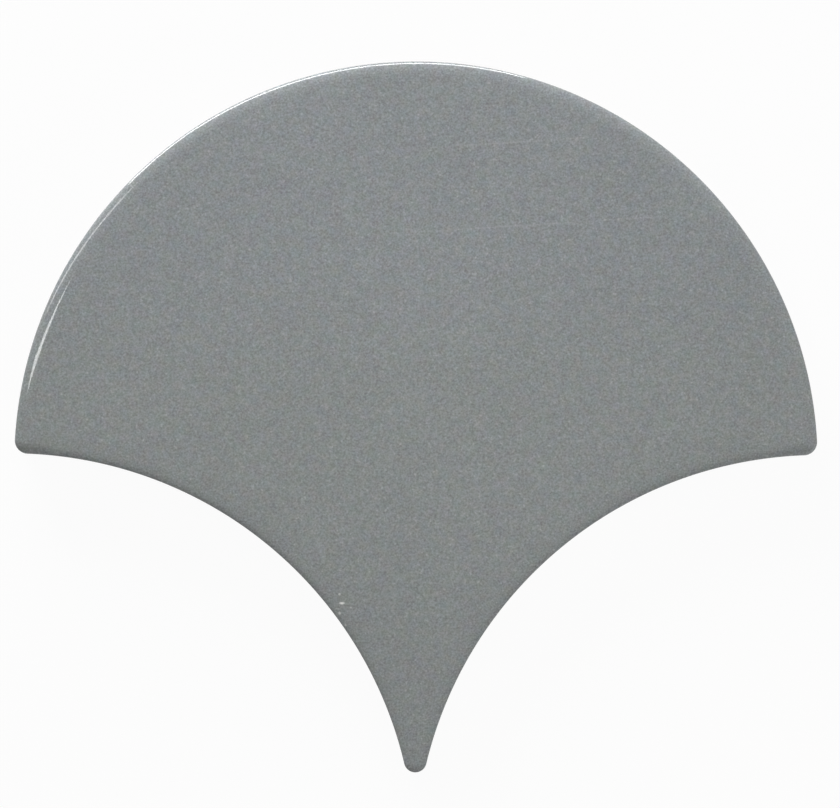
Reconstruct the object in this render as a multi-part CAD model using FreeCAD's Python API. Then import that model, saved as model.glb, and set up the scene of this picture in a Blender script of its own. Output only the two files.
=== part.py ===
import FreeCAD, Part
import math
import os

# A fish scale wall tile in millimetres: one pressed and fired piece that lies on its keyed back.
# +X runs across the tile, +Y from the tip to the round head, +Z out of the glazed face.

# Outline of the tile at its widest level, and the corners of the flat face inside its cushioned edge
HEAD_RADIUS = 60.1
LENGTH = 106.3
FLANK_RADIUS = 60.15
TIP_FLARE = 13.4
FACE_CORNER_RADIUS = 0.35
FACE_TIP_RADIUS = 0.05

# Edge of the tile from the back up to the glazed face
THICKNESS = 9.0
WALL_DRAFT = 0.35
BACK_CHAMFER = 0.6
EDGE_WIDTH = 1.65
EDGE_DROP = 0.95

# Pressed key on the back: shallow pockets between crossing ribs, inside a plain border
KEY_BORDER = 4.5
KEY_DEPTH = 0.8
KEY_PITCH = 9.6
RIB_WIDTH = 2.0
KEY_DRAFT = 30.0
SMALLEST_POCKET = 0.15

UP = FreeCAD.Vector(0, 0, 1)


def point(x, y, z=0.0):
    return FreeCAD.Vector(x, y, z)


def mirrored(place):
    return point(-place.x, place.y, place.z)


def bearing(start, end):
    """Direction from one point to another, in degrees from +X."""
    return math.degrees(math.atan2(end.y - start.y, end.x - start.x))


# The cushioned edge rolls round the flat face's corners and tip, which sets the outline's radii there
CORNER_RADIUS = FACE_CORNER_RADIUS + EDGE_WIDTH
TIP_RADIUS = FACE_TIP_RADIUS + EDGE_WIDTH

# Centres of the outline's arcs, with the tile centred on its length
HEAD = point(0, LENGTH / 2 - HEAD_RADIUS)
TIP = point(0, TIP_RADIUS - LENGTH / 2)
FLARE = math.radians(TIP_FLARE)
RIGHT_FLANK = TIP + point(math.cos(FLARE), -math.sin(FLARE)) * (FLANK_RADIUS + TIP_RADIUS)


def corner_centre():
    """Centre of the right corner's arc, inside the head's arc and outside the flank's."""
    from_head = HEAD_RADIUS - CORNER_RADIUS
    from_flank = FLANK_RADIUS + CORNER_RADIUS
    span = RIGHT_FLANK - HEAD
    along = (from_head ** 2 - from_flank ** 2 + span.Length ** 2) / (2 * span.Length)
    aside = math.sqrt(from_head ** 2 - along ** 2)
    direction = span / span.Length
    return HEAD + direction * along + point(-direction.y, direction.x) * aside


def outline_arcs():
    """The outline's tangent arcs anticlockwise: centre, radius, start bearing, sweep and the body's side."""
    corner = corner_centre()
    head_start = bearing(HEAD, corner)
    corner_start = bearing(corner, RIGHT_FLANK)
    flank_start = bearing(RIGHT_FLANK, TIP)
    flank_sweep = flank_start - bearing(RIGHT_FLANK, corner)
    corner_sweep = head_start - corner_start
    return [
        (HEAD, HEAD_RADIUS, head_start, 180 - 2 * head_start, 1),
        (mirrored(corner), CORNER_RADIUS, 180 - head_start, corner_sweep, 1),
        (mirrored(RIGHT_FLANK), FLANK_RADIUS, 180 - flank_start + flank_sweep, -flank_sweep, -1),
        (TIP, TIP_RADIUS, 180 + TIP_FLARE, 180 - 2 * TIP_FLARE, 1),
        (RIGHT_FLANK, FLANK_RADIUS, flank_start, -flank_sweep, -1),
        (corner, CORNER_RADIUS, corner_start, corner_sweep, 1),
    ]


def quarter_ellipse(start, corner, end):
    """A quarter of an ellipse between two points, tangent to the lines that meet at the corner."""
    curve = Part.BezierCurve()
    curve.setPoles([start, corner, end])
    curve.setWeight(2, math.sqrt(0.5))
    return curve.toShape()


def edge_profile(centre, radius, start, side):
    """The tile's edge in section at the start of one outline arc, from the back to the flat face."""
    angle = math.radians(start)

    def place(outward, height):
        reach = radius + side * outward
        return centre + point(reach * math.cos(angle), reach * math.sin(angle), height)

    back_rim = place(-WALL_DRAFT - BACK_CHAMFER, 0)
    wall_foot = place(-WALL_DRAFT, BACK_CHAMFER)
    wall_top = place(0, THICKNESS - EDGE_DROP)
    face_rim = place(-EDGE_WIDTH, THICKNESS)
    return [
        Part.makeLine(back_rim, wall_foot),
        Part.makeLine(wall_foot, wall_top),
        quarter_ellipse(wall_top, place(0, THICKNESS), face_rim),
    ]


def level_face(arcs, outward, height):
    """A flat face inside the outline moved out by the given amount."""
    edges = []
    for centre, radius, start, sweep, side in arcs:
        reach = radius + side * outward
        spots = []
        for turn in (start, start + sweep / 2, start + sweep):
            angle = math.radians(turn)
            spots.append(centre + point(reach * math.cos(angle), reach * math.sin(angle), height))
        edges.append(Part.Arc(*spots).toShape())
    return Part.Face(Part.Wire(edges))


def plain_body():
    """The pressed body with its drafted wall and cushioned edge, and a flat back."""
    arcs = outline_arcs()
    faces = [
        level_face(arcs, -WALL_DRAFT - BACK_CHAMFER, 0),
        level_face(arcs, -EDGE_WIDTH, THICKNESS),
    ]
    for centre, radius, start, sweep, side in arcs:
        axis = UP if sweep > 0 else -UP
        for edge in edge_profile(centre, radius, start, side):
            faces.append(edge.revolve(centre, axis, abs(sweep)))
    shell = Part.makeCompound(faces)
    shell.sewShape()
    body = Part.Solid(shell.Shells[0])
    body.fixTolerance(1e-6)
    if body.Volume < 0:
        body.reverse()
    return body


def key_field():
    """The fan shaped field of the back key, narrowing upwards from the back, before its ribs."""
    lean = KEY_DEPTH * math.tan(math.radians(KEY_DRAFT))
    head = HEAD_RADIUS - KEY_BORDER
    flank = FLANK_RADIUS + KEY_BORDER
    field = Part.makeCone(head, head - lean, KEY_DEPTH, HEAD)
    for centre in (RIGHT_FLANK, mirrored(RIGHT_FLANK)):
        field = field.cut(Part.makeCone(flank, flank + lean, KEY_DEPTH, centre))
    return field


def rib(length):
    """One rib of the key along X, wider at its root than at the back's surface."""
    lean = KEY_DEPTH * math.tan(math.radians(KEY_DRAFT))
    half = RIB_WIDTH / 2
    corners = [
        point(-length / 2, -half, 0),
        point(-length / 2, half, 0),
        point(-length / 2, half + lean, KEY_DEPTH),
        point(-length / 2, -half - lean, KEY_DEPTH),
    ]
    section = Part.Face(Part.makePolygon(corners + corners[:1]))
    return section.extrude(point(length, 0, 0))


def key_ribs():
    """Crossing ribs at even pitch both ways, with one rib on the tile's centre line."""
    count = math.ceil(HEAD_RADIUS / KEY_PITCH)
    length = 4 * HEAD_RADIUS
    ribs = []
    for step in range(-count, count + 1):
        across = rib(length)
        across.translate(HEAD + point(0, step * KEY_PITCH))
        ribs.append(across)
        upright = rib(length)
        upright.rotate(point(0, 0), UP, 90)
        upright.translate(point(step * KEY_PITCH, 0))
        ribs.append(upright)
    return ribs


def key_pockets():
    """The pockets that are left between the ribs, without the slivers along the border."""
    pockets = key_field().cut(key_ribs()).Solids
    largest = max(pocket.Volume for pocket in pockets)
    return [pocket for pocket in pockets if pocket.Volume > SMALLEST_POCKET * largest]


def fish_scale_tile():
    return plain_body().cut(key_pockets()).Solids[0]


os.makedirs("parts", exist_ok=True)
tile = fish_scale_tile()
tile.exportStep("parts/fish_scale_tile.step")
print("tile", tile.ShapeType, tile.isValid(), "volume", round(tile.Volume), "mm3", tile.BoundBox)
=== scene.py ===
import math

import bmesh
import bpy
from mathutils import Matrix, Vector, kdtree, noise
from mathutils.geometry import delaunay_2d_cdt


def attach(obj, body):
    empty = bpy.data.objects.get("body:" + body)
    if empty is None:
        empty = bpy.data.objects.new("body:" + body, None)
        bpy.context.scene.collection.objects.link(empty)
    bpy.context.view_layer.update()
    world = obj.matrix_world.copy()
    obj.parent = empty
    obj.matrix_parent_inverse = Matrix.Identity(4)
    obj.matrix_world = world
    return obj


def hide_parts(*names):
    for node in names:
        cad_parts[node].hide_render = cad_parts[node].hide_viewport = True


# A glazed fish scale tile on its back, seen from straight above.
# Lengths of the tile are in millimetres until its mesh is made; floor, lamps and camera are in metres.

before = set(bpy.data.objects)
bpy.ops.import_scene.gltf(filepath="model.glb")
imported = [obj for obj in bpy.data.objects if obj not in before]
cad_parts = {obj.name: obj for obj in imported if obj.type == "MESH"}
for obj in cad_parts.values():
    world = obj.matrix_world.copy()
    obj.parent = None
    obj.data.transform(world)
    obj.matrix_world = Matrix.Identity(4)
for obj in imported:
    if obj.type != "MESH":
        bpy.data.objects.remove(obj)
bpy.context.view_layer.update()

MM = 0.001
NODE = "fish_scale_tile"

# Outline, thickness and wall of the solid
HEAD_RADIUS = 60.1
LENGTH = 106.3
FLANK_RADIUS = 60.15
TIP_FLARE = math.radians(13.4)
CORNER_RADIUS = 2.0
TIP_RADIUS = 1.7
THICKNESS = 9.0
WALL_TOP = 8.05
WALL_DRAFT = 0.35
BACK_CHAMFER = 0.6

# Cushioned edge: a roll that is fuller round the head than along the flanks, and a long soft crown
ROLL_WIDTH = 1.95
ROLL_DROP = 0.74
FLANK_ROLL_WIDTH = 1.1
FLANK_ROLL_DROP = 0.25
ROLL_FADE = 2.5
CROWN_DROP = 0.21
CROWN_REACH = 1.2

# Rim of the face: a quick turn at the top of the head, and a narrow flat all round that mirrors a lamp as
# one even line and that the turn shifts inwards
TURN_WIDTH = 0.6
TURN_DROP = 0.14
TURN_MIDDLE = math.radians(101)
TURN_HALF_SPAN = math.radians(24)
FLAT_START = 0.16
FLAT_SHIFT = 0.125
FLAT_WIDTH = 0.17
FLAT_EASE = 0.03

# Fired glaze: slow ripple of the face, and the wandering line where the glaze ends on the wall
RIPPLE_HEIGHT = 0.012
RIPPLE_SPAN = 9.0
GLAZE_LINE = 4.3
WANDER = 0.9
WANDER_SPAN = 21.0
WANDER_LAYER = 65
SERRATION = 0.25
SERRATION_SPAN = 5.5
SERRATION_LAYER = 35

# Lip of the glaze; its rows give the lost share of the glaze's thickness and the rise above the line
GLAZE_THICKNESS = 0.11
LIP_RISE = 0.3
LIP = ((0.05, 0.12), (0.3, 0.05), (0.7, 0.015), (1.0, 0.0))

# Pressed pockets on the back: depth, draft, soft corners and soft edges
KEY_DEPTH = 0.8
KEY_DRAFT = math.radians(30)
POCKET_CORNER = 0.9
POCKET_CORNER_SHARE = 0.45
POCKET_CORNER_LEAST = 0.06
POCKET_CORNER_STEPS = 5
POCKET_RIM = 0.16
POCKET_RIM_SHARES = (0.0, 0.33, 0.67, 1.0)
POCKET_SHORT_SIDE = 1.2
SHARP_TURN = math.radians(20)
BACK_RIM_REACH = 1.2
LEVEL_SLACK = 0.001

# Fineness of the mesh, and the angle from which its edges look sharp
EDGE_REACH = 1.6
EDGE_STEPS = 9
RIM_STEPS = 5
ARC_STEP = 0.4
ARC_TURN = math.radians(5)
FACE_ROWS = (1.75, 1.95, 2.2, 2.6, 3.2)
FACE_ROW_SLACK = 0.03
FACE_SPACING = 0.15
FACE_GRID = 0.9
FACE_GRID_START = 3.7
WALL_ROWS = 8
BODY_ROWS = 6
SHARP_EDGE = math.radians(35)

# Triangulation keeps what lies inside the first loop and outside its holes, and takes nearer points as one
INSIDE_WITH_HOLES = 2
SAME_POINT = 1e-6

# Material slots of the mesh
GLAZED = 0
BARE = 1

# Glaze: grains of each noise in a metre, and the colours or colour factors that it runs between
GRAIN_SCALE = 3600
GRAIN_LEVELS = (0.1, 0.9)
GRAIN_DARK = (0.124, 0.133, 0.134)
GRAIN_PALE = (0.310, 0.333, 0.336)
FLECK_SCALE = 2600
FLECK_LEVELS = (0.64, 0.80)
FLECK_PALE = (1.22, 1.21, 1.19)
BLOTCH_SCALE = 700
BLOTCH_OLIVE = (1.012, 1.0, 0.982)
BLOTCH_BLUE = (0.982, 1.0, 1.024)
STAIN_SCALE = 560
STAIN_STRENGTH = 0.016
CLOUD_SCALE = 55
CLOUD_DARK = (0.975, 0.98, 0.98)
CLOUD_PALE = (1.02, 1.02, 1.025)
SOFT_LEVELS = (0.3, 0.7)
UNCHANGED = (1.0, 1.0, 1.0)
GLAZE_ROUGHNESS = 0.06
GLAZE_IOR = 1.5
ORANGE_PEEL_SCALE = 420
ORANGE_PEEL_HEIGHT = 0.007

# Painted bluish light: grey tinted warmer at the tip and bluer at the head; where it changes, tip to head
PAINTED_LIGHT_TINT_START = 5.0
PAINTED_LIGHT_TINT_END = 23.0
TIP_PAINTED_WARM_LIGHT = (1.0, 1.0, 0.978)
HEAD_PAINTED_BLUE_LIGHT = (1.0, 1.0, 1.013)

# Painted glints near the left flank, for light caught in tiny pits of the glaze, and faint wiping streaks
# below the head: place, half length, half width, turn in degrees and strength
PAINTED_GLINTS_AND_STREAKS = (
    # The first five are painted glints; the last four are streaks in the glaze
    (-11.37, -26.52, 0.24, 0.24, 0, 0.40),
    (-11.00, -27.86, 0.52, 0.24, 0, 0.75),
    (-9.65, -28.54, 0.16, 0.16, 0, 0.35),
    (-11.37, -29.36, 0.28, 0.34, 0, 0.40),
    (-10.47, -31.15, 0.24, 0.28, 0, 0.32),
    (11.8, 40.8, 17.0, 0.18, 3.6, 0.06),
    (23.5, 41.6, 4.5, 0.16, 4.0, 0.07),
    (14.5, 28.5, 23.0, 0.18, 3.6, 0.06),
    (32.5, 29.7, 4.5, 0.16, 3.0, 0.06),
)
# Pale colour of the painted glints and of the streaks
GLINT_AND_STREAK_COLOUR = (0.85, 0.85, 0.82)
MARK_CORE = 0.3

# Bare body: grains of each noise in a metre, and the colours or colour factors that it runs between
BISCUIT_SCALE = 130
BISCUIT_DARK = (0.275, 0.228, 0.178)
BISCUIT_PALE = (0.345, 0.292, 0.235)
BISCUIT_ROUGHNESS = 0.85
GRIT_SCALE = 3200
GRIT_LEVELS = (0.3, 0.5)
GRIT_DARK = (0.80, 0.76, 0.72)
GRIT_HEIGHT = 0.04

# Floor, backdrop and even light
FLOOR_SIZE = 6.0
FLOOR_GAP = 0.00005
FLOOR_GREY = (0.6, 0.6, 0.6, 1)
FLOOR_GLOW = 0.955
BACKDROP_GLOW = 0.96
AMBIENT = 0.09
WHITE = (1, 1, 1, 1)

# Camera; its lens and sensor are in millimetres
CAMERA_PLACE = (0.00059, 0.0019, 0.4792)
CAMERA_ROLL = math.radians(0.12)
CAMERA_LENS = 135
CAMERA_SENSOR = 36

# Soft lamps: bearing and angle from the upright in degrees, distance and width in metres, and the light
# that each gives on a surface that faces it
SOFT_LAMPS = {
    "key": (108, 71, 0.58, 0.30, 5.5),
    "fill": (-8, 78, 0.40, 0.20, 1.4),
    "front": (-75, 70, 1.00, 0.40, 0.85),
    "overhead": (75, 3, 0.13, 0.06, 0.53),
    "below": (130, 135, 0.60, 0.30, 3.6),
}

# Strips that are only seen mirrored in the glazed edge: two ends and width in metres, and radiance
STRIPS = {
    "head_strip": ((0.331, 1.153, 0.085), (-0.878, 0.818, 0.085), 0.13, 15.5),
    "left_strip": ((-0.298, 0.264, 0.519), (-0.573, 0.224, 0.282), 0.05, 6.0),
    "top_strip": ((-0.210, 0.080, 0.601), (-0.414, 0.073, 0.506), 0.036, 10.0),
}


# Outline

HEAD = Vector((0, LENGTH / 2 - HEAD_RADIUS))
TIP = Vector((0, TIP_RADIUS - LENGTH / 2))
FLANK = TIP + (FLANK_RADIUS + TIP_RADIUS) * Vector((math.cos(TIP_FLARE), -math.sin(TIP_FLARE)))


def corner_centre():
    """Centre of the right corner's arc, inside the head's arc and outside the flank's."""
    from_head = HEAD_RADIUS - CORNER_RADIUS
    from_flank = FLANK_RADIUS + CORNER_RADIUS
    span = FLANK - HEAD
    along = (from_head ** 2 - from_flank ** 2 + span.length_squared) / (2 * span.length)
    aside = math.sqrt(from_head ** 2 - along ** 2)
    direction = span.normalized()
    return HEAD + along * direction + aside * Vector((-direction.y, direction.x))


CORNER = corner_centre()


def mirrored(place):
    return Vector((-place.x, place.y))


def bearing(start, end):
    return math.atan2(end.y - start.y, end.x - start.x)


def outline_arcs():
    """Centre, radius, start bearing, sweep and body side of the outline's tangent arcs, anticlockwise."""
    head_start = bearing(HEAD, CORNER)
    corner_start = bearing(CORNER, FLANK)
    flank_start = bearing(FLANK, TIP)
    corner_sweep = head_start - corner_start
    flank_sweep = bearing(FLANK, CORNER) - flank_start
    return (
        (HEAD, HEAD_RADIUS, head_start, math.pi - 2 * head_start, 1),
        (mirrored(CORNER), CORNER_RADIUS, math.pi - head_start, corner_sweep, 1),
        (mirrored(FLANK), FLANK_RADIUS, math.pi - flank_start - flank_sweep, flank_sweep, -1),
        (TIP, TIP_RADIUS, math.pi + TIP_FLARE, math.pi - 2 * TIP_FLARE, 1),
        (FLANK, FLANK_RADIUS, flank_start, flank_sweep, -1),
        (CORNER, CORNER_RADIUS, corner_start, corner_sweep, 1),
    )


ARCS = outline_arcs()


def ring(outward):
    """Points once round the outline moved out by the given amount."""
    points = []
    for centre, radius, start, sweep, side in ARCS:
        steps = max(math.ceil(abs(sweep) * radius / ARC_STEP), math.ceil(abs(sweep) / ARC_TURN))
        reach = radius + side * outward
        for step in range(steps):
            angle = start + sweep * step / steps
            points.append(centre + reach * Vector((math.cos(angle), math.sin(angle))))
    return points


OUTLINE = ring(0)
OUTWARD = [far - near for near, far in zip(OUTLINE, ring(1))]


def fullness(place):
    """Strength of the roll at a point of the outline: one round the head, fading along the flanks."""
    if place.y > CORNER.y:
        return 1.0
    along = Vector((abs(place.x), place.y)) - CORNER
    return math.exp(-max(0.0, along.length - CORNER_RADIUS) / ROLL_FADE)


def turning(place):
    """Strength of the quick turn at a point of the outline: one at its middle, fading to nought."""
    aside = (bearing(HEAD, place) - TURN_MIDDLE) / TURN_HALF_SPAN
    return max(0.0, 1 - aside * aside)


FULLNESS = [fullness(place) for place in OUTLINE]
TURNING = [turning(place) for place in OUTLINE]


def search_tree(points):
    tree = kdtree.KDTree(len(points))
    for index, spot in enumerate(points):
        tree.insert((spot.x, spot.y, 0), index)
    tree.balance()
    return tree


OUTLINE_TREE = search_tree(OUTLINE)


def inset(place):
    """How far a point that lies inside the outline is from it."""
    return OUTLINE_TREE.find((place.x, place.y, 0))[2]


def nearest_fullness(place):
    return FULLNESS[OUTLINE_TREE.find((place.x, place.y, 0))[1]]


# Glazed face and edge

def rolled_height(reach, full, turned):
    """Height of the face at a distance in from the outline, for the given strengths of roll and turn."""
    width = FLANK_ROLL_WIDTH + (ROLL_WIDTH - FLANK_ROLL_WIDTH) * full
    drop = FLANK_ROLL_DROP + (ROLL_DROP - FLANK_ROLL_DROP) * full
    share = max(0.0, 1 - reach / width)
    roll = drop * (1 - math.sqrt(1 - share * share))
    turn = TURN_DROP * turned * max(0.0, 1 - reach / TURN_WIDTH) ** 2
    crown = CROWN_DROP * math.exp(-reach / CROWN_REACH)
    return THICKNESS - roll - turn - crown


def flat_ends(turned):
    """How far in the narrow flat starts and ends."""
    start = FLAT_START + FLAT_SHIFT * turned
    return start, start + FLAT_WIDTH


def face_height(reach, full, turned=0.0):
    """Height of the glazed face, which is straight across the narrow flat."""
    start, end = flat_ends(turned)
    if not start < reach < end:
        return rolled_height(reach, full, turned)
    low = rolled_height(start, full, turned)
    high = rolled_height(end, full, turned)
    return low + (high - low) * (reach - start) / FLAT_WIDTH


def ripple(place, reach):
    """Slow unevenness of the fired glaze, which dies out at the outline."""
    spot = Vector((place.x / RIPPLE_SPAN, place.y / RIPPLE_SPAN, 0))
    return RIPPLE_HEIGHT * min(1.0, reach) * (noise.noise(spot) - 1) / 2


def edge_rows(turned):
    """Distances in from the outline of the rows over the edge, from the face to the wall."""
    start, end = flat_ends(turned)
    inner = [end + (EDGE_REACH - end) * (step / EDGE_STEPS) ** 2 for step in range(EDGE_STEPS, -1, -1)]
    outer = [start * (step / RIM_STEPS) ** 2 for step in range(RIM_STEPS, -1, -1)]
    return inner + [end - FLAT_EASE, start + FLAT_EASE] + outer


def wall_reach(height):
    """How far out the drafted wall stands from the outline, which is below zero under its top."""
    return -WALL_DRAFT * max(0.0, WALL_TOP - height) / (WALL_TOP - BACK_CHAMFER)


def glaze_line(place):
    """Height on the wall where the glaze ends, which wanders round the tile."""
    slow = noise.noise(Vector((place.x, place.y, WANDER_LAYER)) / WANDER_SPAN)
    quick = noise.noise(Vector((place.x, place.y, SERRATION_LAYER)) / SERRATION_SPAN)
    return GLAZE_LINE + WANDER * slow + SERRATION * quick


def wall_rows(place, top):
    """Outward reach and height of the rows down the wall: glaze, lip, bare body and the chamfer's end."""
    line = glaze_line(place)
    rows = []
    for row in range(1, WALL_ROWS + 1):
        height = top + (line + LIP_RISE - top) * row / WALL_ROWS
        rows.append((wall_reach(height), height))
    for share, rise in LIP:
        rows.append((wall_reach(line + rise) - share * GLAZE_THICKNESS, line + rise))
    for row in range(1, BODY_ROWS + 1):
        height = line + (BACK_CHAMFER - line) * row / BODY_ROWS
        rows.append((wall_reach(height) - GLAZE_THICKNESS, height))
    rows.append((-WALL_DRAFT - BACK_CHAMFER, 0.0))
    return rows


GLAZED_ROWS = len(edge_rows(0.0)) + WALL_ROWS + len(LIP) - 1


def add_vertex(mesh, place, height):
    return mesh.verts.new((place.x * MM, place.y * MM, height * MM))


def add_edge_columns(mesh):
    """Adds the rows of vertices over the edge and down the wall, one list for each column."""
    columns = []
    for place, outward, full, turned in zip(OUTLINE, OUTWARD, FULLNESS, TURNING):
        column = []
        for reach in edge_rows(turned):
            spot = place - reach * outward
            height = face_height(reach, full, turned) + ripple(spot, reach)
            column.append(add_vertex(mesh, spot, height))
        for reach, height in wall_rows(place, face_height(0, full, turned)):
            column.append(add_vertex(mesh, place + reach * outward, height))
        columns.append(column)
    return columns


def add_edge_faces(mesh, columns):
    """Joins the columns; the rows down to the foot of the lip are glazed and those below it are bare."""
    for here, after in zip(columns, columns[1:] + columns[:1]):
        for row in range(len(here) - 1):
            face = mesh.faces.new((here[row], here[row + 1], after[row + 1], after[row]))
            face.material_index = GLAZED if row < GLAZED_ROWS else BARE


def in_tile(place):
    """Whether a point well clear of the outline's corners and tip lies inside the outline."""
    clear_of_flanks = min((place - FLANK).length, (place - mirrored(FLANK)).length) > FLANK_RADIUS
    return clear_of_flanks and (place - HEAD).length < HEAD_RADIUS and place.y > TIP.y


def face_row_points():
    """Points in rows along the edge, which thin out inwards."""
    points = []
    for number, reach in enumerate(FACE_ROWS):
        for spot in ring(-reach)[::1 + number // 2]:
            apart = not points or (spot - points[-1]).length > FACE_SPACING
            if apart and abs(inset(spot) - reach) < FACE_ROW_SLACK:
                points.append(spot)
    return points


def face_grid_points():
    """Points of an even triangular grid over the middle of the face."""
    across = math.ceil(HEAD_RADIUS / FACE_GRID)
    row_step = FACE_GRID * math.sqrt(0.75)
    upward = math.ceil(LENGTH / 2 / row_step)
    points = []
    for row in range(-upward, upward + 1):
        for step in range(-across, across + 1):
            spot = Vector(((step + 0.5 * (row % 2)) * FACE_GRID, row * row_step))
            if in_tile(spot) and inset(spot) > FACE_GRID_START:
                points.append(spot)
    return points


def add_face(mesh, rim):
    """Fills the face inside the edge, where the quick turn no longer reaches."""
    verts = list(rim)
    for spot in face_row_points() + face_grid_points():
        reach = inset(spot)
        height = face_height(reach, nearest_fullness(spot)) + ripple(spot, reach)
        verts.append(add_vertex(mesh, spot, height))
    add_triangles(mesh, verts, [list(range(len(rim)))], GLAZED)


def add_triangles(mesh, verts, loops, material):
    """Joins vertices by triangles inside the first loop and outside the others, which are holes in it."""
    spots = [Vector((vert.co.x, vert.co.y)) / MM for vert in verts]
    _, _, triangles, origins, _, _ = delaunay_2d_cdt(spots, [], loops, INSIDE_WITH_HOLES, SAME_POINT)
    for triangle in triangles:
        face = mesh.faces.new([verts[origins[corner][0]] for corner in triangle])
        face.material_index = material


# Keyed back

def is_level(face):
    return max(vert.co.z for vert in face.verts) < LEVEL_SLACK * MM


def pocket_edges(solid):
    """The vertices round the pockets at the level of the back, each with those that its edges lead to."""
    onward = {}
    for edge in solid.edges:
        level_faces = [face for face in edge.link_faces if is_level(face)]
        middle = (edge.verts[0].co + edge.verts[1].co) / 2 / MM
        if len(level_faces) == 1 and middle.z < LEVEL_SLACK and inset(middle) > BACK_RIM_REACH:
            for here, there in (edge.verts, reversed(edge.verts)):
                onward.setdefault(here, []).append(there)
    return onward


def pocket_loops():
    """Outlines of the key's pockets at the level of the back, read from the solid."""
    solid = bmesh.new()
    solid.from_mesh(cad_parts[NODE].data)
    bmesh.ops.remove_doubles(solid, verts=solid.verts, dist=LEVEL_SLACK * MM)
    onward = pocket_edges(solid)
    loops = []
    while onward:
        loop = [next(iter(onward))]
        while loop[-1] in onward:
            choices = onward.pop(loop[-1])
            following = [vert for vert in choices if vert in onward]
            loop += following[:1]
        loops.append([Vector((vert.co.x, vert.co.y)) / MM for vert in loop])
    solid.free()
    return [without_short_sides(anticlockwise(loop)) for loop in loops]


def neighbours(loop):
    """Each point of the loop between the one before it and the one after it."""
    return zip(loop[-1:] + loop[:-1], loop, loop[1:] + loop[:1])


def anticlockwise(loop):
    area = sum(before.x * here.y - before.y * here.x for before, here, _ in neighbours(loop))
    return loop if area > 0 else loop[::-1]


def without_short_sides(loop):
    """The loop with each very short side shrunk to its middle."""
    result = []
    for before, here, after in neighbours(loop):
        if (here - before).length < POCKET_SHORT_SIDE:
            continue
        shrunk = (after - here).length < POCKET_SHORT_SIDE
        result.append((here + after) / 2 if shrunk else here)
    return result


def moved_in(loop, distance):
    """Points round the loop with every side moved inwards and its sharp corners rounded."""
    points = []
    for before, here, after in neighbours(loop):
        first, second = here - before, after - here
        turn = first.angle(second)
        shorter = min(first.length, second.length)
        first.normalize()
        second.normalize()
        outward = Vector((first.y, -first.x))
        inward = Vector((-first.y - second.y, first.x + second.x)).normalized()
        if turn < SHARP_TURN:
            points.append(here + inward * distance / math.cos(turn / 2))
            continue
        radius = min(POCKET_CORNER, POCKET_CORNER_SHARE * shorter / math.tan(turn / 2))
        radius = max(radius - distance, POCKET_CORNER_LEAST)
        centre = here + inward * (distance + radius) / math.cos(turn / 2)
        for step in range(POCKET_CORNER_STEPS + 1):
            spoke = Matrix.Rotation(turn * step / POCKET_CORNER_STEPS, 2) @ outward
            points.append(centre + radius * spoke)
    return points


def pocket_rows():
    """How far in and how deep a pocket's rows lie: soft rim, soft foot and the start of its floor."""
    lean = math.tan(KEY_DRAFT)
    rim = (Vector((-POCKET_RIM, 0)), Vector((0, 0)), Vector((POCKET_RIM * lean, POCKET_RIM)))
    foot_start = KEY_DEPTH - POCKET_RIM
    foot = (
        Vector((foot_start * lean, foot_start)),
        Vector((KEY_DEPTH * lean, KEY_DEPTH)),
        Vector((KEY_DEPTH * lean + POCKET_RIM, KEY_DEPTH)),
    )
    rows = []
    for start, corner, end in (rim, foot):
        for share in POCKET_RIM_SHARES:
            rows.append(start.lerp(corner, share).lerp(corner.lerp(end, share), share))
    rows.append(rows[-1] + Vector((POCKET_RIM / 2, 0)))
    return rows


def add_pocket(mesh, loop):
    """Adds one pocket and gives the vertices of its rim on the level back."""
    rows = []
    for distance, depth in pocket_rows():
        rows.append([add_vertex(mesh, spot, depth) for spot in moved_in(loop, distance)])
    for outer, inner in zip(rows, rows[1:]):
        for step in range(len(outer)):
            after = (step + 1) % len(outer)
            face = mesh.faces.new((outer[step], outer[after], inner[after], inner[step]))
            face.material_index = BARE
    mesh.faces.new(rows[-1]).material_index = BARE
    return rows[0]


def add_back(mesh, rim):
    """Adds the bare back: its pockets, and the border and ribs round them."""
    verts = list(rim)
    loops = [list(range(len(rim)))]
    for loop in pocket_loops():
        pocket_rim = add_pocket(mesh, loop)
        loops.append(list(range(len(verts), len(verts) + len(pocket_rim))))
        verts += pocket_rim
    add_triangles(mesh, verts, loops, BARE)


def make_tile():
    """The whole tile as one closed mesh with a glazed and a bare material."""
    mesh = bmesh.new()
    columns = add_edge_columns(mesh)
    add_edge_faces(mesh, columns)
    add_face(mesh, [column[0] for column in columns])
    add_back(mesh, [column[-1] for column in columns])
    bmesh.ops.recalc_face_normals(mesh, faces=mesh.faces)
    data = bpy.data.meshes.new("tile")
    mesh.to_mesh(data)
    mesh.free()
    data.shade_smooth()
    data.set_sharp_from_angle(angle=SHARP_EDGE)
    data.materials.append(glaze_material())
    data.materials.append(biscuit_material())
    tile = bpy.data.objects.new("glazed_tile", data)
    bpy.context.scene.collection.objects.link(tile)
    return tile


# Materials

def new_material(name):
    material = bpy.data.materials.new(name)
    material.use_nodes = True
    return material, material.node_tree.nodes, material.node_tree.links


def noise_node(nodes, links, scale, detail=1.0, roughness=0.5, output="Fac"):
    """A noise over the object's own coordinates; scale counts its grains in a metre."""
    place = nodes.new("ShaderNodeTexCoord")
    grain = nodes.new("ShaderNodeTexNoise")
    grain.inputs["Scale"].default_value = scale
    grain.inputs["Detail"].default_value = detail
    grain.inputs["Roughness"].default_value = roughness
    links.new(place.outputs["Object"], grain.inputs["Vector"])
    return grain.outputs[output]


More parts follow.
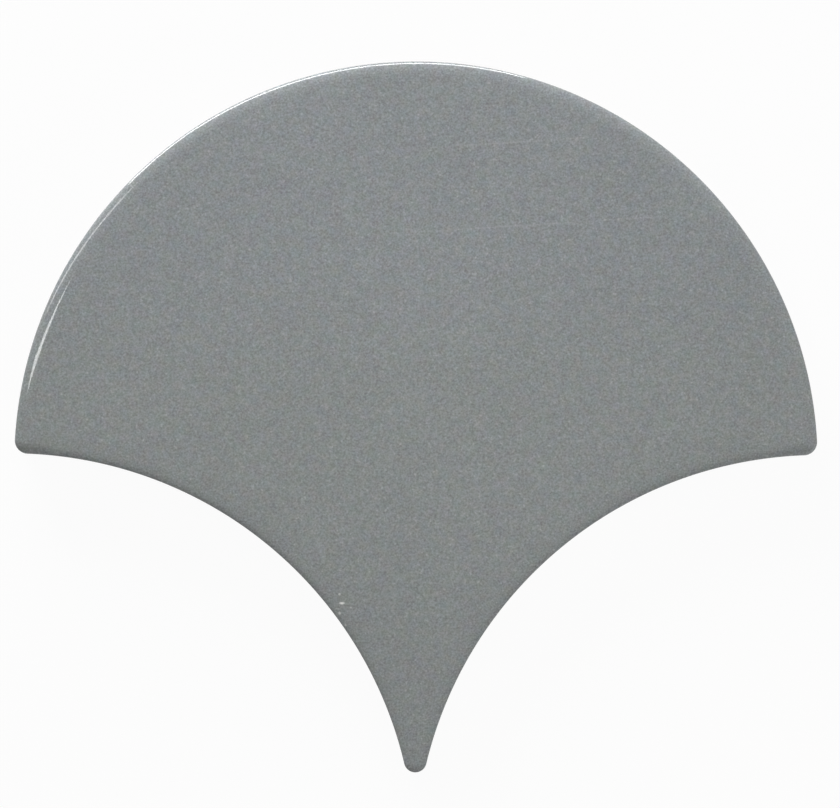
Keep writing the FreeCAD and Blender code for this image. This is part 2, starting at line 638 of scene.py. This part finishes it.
def headward_node(nodes, links):
    """Runs from nought to one across the band where the painted light tint changes, on the way from tip to
    head.
    """
    place = nodes.new("ShaderNodeTexCoord")
    parts = nodes.new("ShaderNodeSeparateXYZ")
    level = nodes.new("ShaderNodeMapRange")
    level.inputs["From Min"].default_value = PAINTED_LIGHT_TINT_START * MM
    level.inputs["From Max"].default_value = PAINTED_LIGHT_TINT_END * MM
    links.new(place.outputs["Object"], parts.inputs["Vector"])
    links.new(parts.outputs["Y"], level.inputs["Value"])
    return level.outputs["Result"]


def ramp_node(nodes, links, value, levels, low_colour, high_colour):
    """A colour that runs between two colours while the value runs between two levels."""
    ramp = nodes.new("ShaderNodeValToRGB")
    first, last = ramp.color_ramp.elements
    first.position, last.position = levels
    first.color = (*low_colour, 1)
    last.color = (*high_colour, 1)
    links.new(value, ramp.inputs["Fac"])
    return ramp.outputs["Color"]


def mix_node(nodes, links, kind, share, first, second):
    """Mixes two colours; the share is a number or an output, and each colour a tuple or an output."""
    mix = nodes.new("ShaderNodeMix")
    mix.data_type = "RGBA"
    mix.blend_type = kind
    if isinstance(share, float):
        mix.inputs["Factor"].default_value = share
    else:
        links.new(share, mix.inputs["Factor"])
    for socket, colour in (("A", first), ("B", second)):
        target = [slot for slot in mix.inputs if slot.name == socket and slot.type == "RGBA"][0]
        if isinstance(colour, tuple):
            target.default_value = (*colour, 1)
        else:
            links.new(colour, target)
    return [slot for slot in mix.outputs if slot.type == "RGBA"][0]


def tinted(nodes, links, colour, factor):
    return mix_node(nodes, links, "MULTIPLY", 1.0, colour, factor)


def largest_of(nodes, links, values):
    """The largest of several outputs."""
    total = values[0]
    for value in values[1:]:
        larger = nodes.new("ShaderNodeMath")
        larger.operation = "MAXIMUM"
        links.new(total, larger.inputs[0])
        links.new(value, larger.inputs[1])
        total = larger.outputs["Value"]
    return total


def mark_node(nodes, links, x, y, half_length, half_width, turn, strength):
    """One oval mark on the face, of the painted glints and the streaks: full strength in its core, fading
    to nought at its rim.
    """
    place = nodes.new("ShaderNodeTexCoord")
    oval = nodes.new("ShaderNodeMapping")
    oval.vector_type = "TEXTURE"
    oval.inputs["Location"].default_value = (x * MM, y * MM, 0)
    oval.inputs["Rotation"].default_value = (0, 0, math.radians(turn))
    oval.inputs["Scale"].default_value = (half_length * MM, half_width * MM, 1)
    reach = nodes.new("ShaderNodeVectorMath")
    reach.operation = "LENGTH"
    fade = nodes.new("ShaderNodeMapRange")
    fade.inputs["From Min"].default_value = 1.0
    fade.inputs["From Max"].default_value = MARK_CORE
    fade.inputs["To Max"].default_value = strength
    links.new(place.outputs["Object"], oval.inputs["Vector"])
    links.new(oval.outputs["Vector"], reach.inputs[0])
    links.new(reach.outputs["Value"], fade.inputs["Value"])
    return fade.outputs["Result"]


def bump_node(nodes, links, value, height):
    bump = nodes.new("ShaderNodeBump")
    bump.inputs["Distance"].default_value = height * MM
    links.new(value, bump.inputs["Height"])
    return bump.outputs["Normal"]


def glaze_colour(nodes, links):
    """Fine pale and dark grain with faint blue and olive clouds, painted bluish light at the head, and the
    painted glints and the streaks over it.
    """
    grain = noise_node(nodes, links, GRAIN_SCALE)
    colour = ramp_node(nodes, links, grain, GRAIN_LEVELS, GRAIN_DARK, GRAIN_PALE)
    fleck = noise_node(nodes, links, FLECK_SCALE, detail=0.0)
    paleness = ramp_node(nodes, links, fleck, FLECK_LEVELS, UNCHANGED, FLECK_PALE)
    colour = tinted(nodes, links, colour, paleness)
    blotch = noise_node(nodes, links, BLOTCH_SCALE)
    tint = ramp_node(nodes, links, blotch, SOFT_LEVELS, BLOTCH_OLIVE, BLOTCH_BLUE)
    colour = tinted(nodes, links, colour, tint)
    stain = noise_node(nodes, links, STAIN_SCALE, output="Color")
    colour = mix_node(nodes, links, "LINEAR_LIGHT", STAIN_STRENGTH, colour, stain)
    cloud = noise_node(nodes, links, CLOUD_SCALE, detail=2.0)
    shade = ramp_node(nodes, links, cloud, SOFT_LEVELS, CLOUD_DARK, CLOUD_PALE)
    colour = tinted(nodes, links, colour, shade)
    # Painted light: bluer towards the head and warmer towards the tip
    painted_light_tint = ramp_node(nodes, links, headward_node(nodes, links), (0.0, 1.0), TIP_PAINTED_WARM_LIGHT, HEAD_PAINTED_BLUE_LIGHT)
    colour = tinted(nodes, links, colour, painted_light_tint)
    # Painted glints near the left flank, and the streaks, over the glaze's colour
    glints_and_streaks = largest_of(nodes, links, [mark_node(nodes, links, *mark) for mark in PAINTED_GLINTS_AND_STREAKS])
    return mix_node(nodes, links, "MIX", glints_and_streaks, colour, GLINT_AND_STREAK_COLOUR)


def glaze_material():
    """Grey-blue gloss glaze with a faint orange peel."""
    material, nodes, links = new_material("grey_blue_glaze")
    shader = nodes["Principled BSDF"]
    links.new(glaze_colour(nodes, links), shader.inputs["Base Color"])
    shader.inputs["Roughness"].default_value = GLAZE_ROUGHNESS
    shader.inputs["IOR"].default_value = GLAZE_IOR
    orange_peel = noise_node(nodes, links, ORANGE_PEEL_SCALE, detail=2.0)
    links.new(bump_node(nodes, links, orange_peel, ORANGE_PEEL_HEIGHT), shader.inputs["Normal"])
    return material


def biscuit_material():
    """Bare fired body: pale buff, dull and finely gritty."""
    material, nodes, links = new_material("bare_biscuit")
    shader = nodes["Principled BSDF"]
    cloud = noise_node(nodes, links, BISCUIT_SCALE, detail=4.0, roughness=0.6)
    colour = ramp_node(nodes, links, cloud, SOFT_LEVELS, BISCUIT_DARK, BISCUIT_PALE)
    grit = noise_node(nodes, links, GRIT_SCALE, detail=2.0, roughness=0.6)
    flecks = ramp_node(nodes, links, grit, GRIT_LEVELS, GRIT_DARK, UNCHANGED)
    links.new(tinted(nodes, links, colour, flecks), shader.inputs["Base Color"])
    shader.inputs["Roughness"].default_value = BISCUIT_ROUGHNESS
    links.new(bump_node(nodes, links, grit, GRIT_HEIGHT), shader.inputs["Normal"])
    return material


def seen_directly(nodes, links):
    """One for rays of the camera, gloss and transmission, and nought for diffuse light."""
    path = nodes.new("ShaderNodeLightPath")
    kinds = ("Is Camera Ray", "Is Glossy Ray", "Is Transmission Ray")
    return largest_of(nodes, links, [path.outputs[kind] for kind in kinds])


def floor_material():
    """A white floor that is a little darker in the tile's shadow, and that is seen through from below."""
    material, nodes, links = new_material("white_floor")
    nodes.remove(nodes["Principled BSDF"])
    diffuse = nodes.new("ShaderNodeBsdfDiffuse")
    diffuse.inputs["Color"].default_value = FLOOR_GREY
    glow = nodes.new("ShaderNodeEmission")
    share = nodes.new("ShaderNodeMath")
    share.operation = "MULTIPLY"
    share.inputs[1].default_value = FLOOR_GLOW
    links.new(seen_directly(nodes, links), share.inputs[0])
    mix = nodes.new("ShaderNodeMixShader")
    links.new(share.outputs["Value"], mix.inputs["Fac"])
    links.new(diffuse.outputs["BSDF"], mix.inputs[1])
    links.new(glow.outputs["Emission"], mix.inputs[2])
    side = nodes.new("ShaderNodeNewGeometry")
    clear = nodes.new("ShaderNodeBsdfTransparent")
    sided = nodes.new("ShaderNodeMixShader")
    links.new(side.outputs["Backfacing"], sided.inputs["Fac"])
    links.new(mix.outputs["Shader"], sided.inputs[1])
    links.new(clear.outputs["BSDF"], sided.inputs[2])
    links.new(sided.outputs["Shader"], nodes["Material Output"].inputs["Surface"])
    return material


# Studio

def make_floor():
    """The floor just under the tile; it lets the lamp below light the tile's back."""
    bpy.ops.mesh.primitive_plane_add(size=FLOOR_SIZE, location=(0, 0, -FLOOR_GAP))
    floor = bpy.context.object
    floor.name = "floor"
    floor.visible_shadow = False
    floor.data.materials.append(floor_material())


def make_world():
    """White where it is seen or mirrored, and a dim even light elsewhere."""
    world = bpy.data.worlds.new("studio")
    bpy.context.scene.world = world
    world.use_nodes = True
    nodes, links = world.node_tree.nodes, world.node_tree.links
    dim = nodes["Background"]
    dim.inputs["Color"].default_value = WHITE
    dim.inputs["Strength"].default_value = AMBIENT
    bright = nodes.new("ShaderNodeBackground")
    bright.inputs["Color"].default_value = WHITE
    bright.inputs["Strength"].default_value = BACKDROP_GLOW
    mix = nodes.new("ShaderNodeMixShader")
    links.new(seen_directly(nodes, links), mix.inputs["Fac"])
    links.new(dim.outputs["Background"], mix.inputs[1])
    links.new(bright.outputs["Background"], mix.inputs[2])
    links.new(mix.outputs["Shader"], nodes["World Output"].inputs["Surface"])


def add_lamp(name, turn, centre, length, width, energy, mirrored_only):
    """A lamp that the camera doesn't see: it lights dull surfaces, or it is only seen mirrored."""
    light = bpy.data.lights.new(name, "AREA")
    light.shape = "RECTANGLE"
    light.size = length
    light.size_y = width
    light.energy = energy
    lamp = bpy.data.objects.new(name, light)
    lamp.matrix_world = Matrix.Translation(centre) @ turn.to_4x4()
    lamp.visible_camera = False
    lamp.visible_diffuse = not mirrored_only
    lamp.visible_glossy = mirrored_only
    bpy.context.scene.collection.objects.link(lamp)


def add_soft_lamp(name, azimuth, zenith, distance, width, light):
    """A square lamp that faces the tile and gives the stated light on a surface that faces it."""
    swing = Matrix.Rotation(math.radians(azimuth + 90), 3, "Z")
    turn = swing @ Matrix.Rotation(math.radians(zenith), 3, "X")
    centre = turn @ Vector((0, 0, distance))
    add_lamp(name, turn, centre, width, width, light * math.pi * distance ** 2, False)


def add_strip(name, start, end, width, radiance):
    """A flat strip between two points that faces the tile, seen only as a mirrored line."""
    start, end = Vector(start), Vector(end)
    centre = (start + end) / 2
    along = (end - start).normalized()
    back = (centre - along * centre.dot(along)).normalized()
    turn = Matrix((along, back.cross(along), back)).transposed()
    length = (end - start).length
    add_lamp(name, turn, centre, length, width, radiance * math.pi * length * width, True)


def make_lights():
    for name, sizes in SOFT_LAMPS.items():
        add_soft_lamp(name, *sizes)
    for name, sizes in STRIPS.items():
        add_strip(name, *sizes)


def make_camera():
    """A camera that looks straight down on the tile."""
    camera = bpy.data.objects.new("camera", bpy.data.cameras.new("camera"))
    camera.location = CAMERA_PLACE
    camera.rotation_euler.z = CAMERA_ROLL
    camera.data.lens = CAMERA_LENS
    camera.data.sensor_width = CAMERA_SENSOR
    bpy.context.scene.collection.objects.link(camera)
    bpy.context.scene.camera = camera


tile = make_tile()
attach(tile, "root")
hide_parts(NODE)
make_floor()
make_world()
make_lights()
make_camera()
bpy.context.scene.view_settings.view_transform = "Standard"
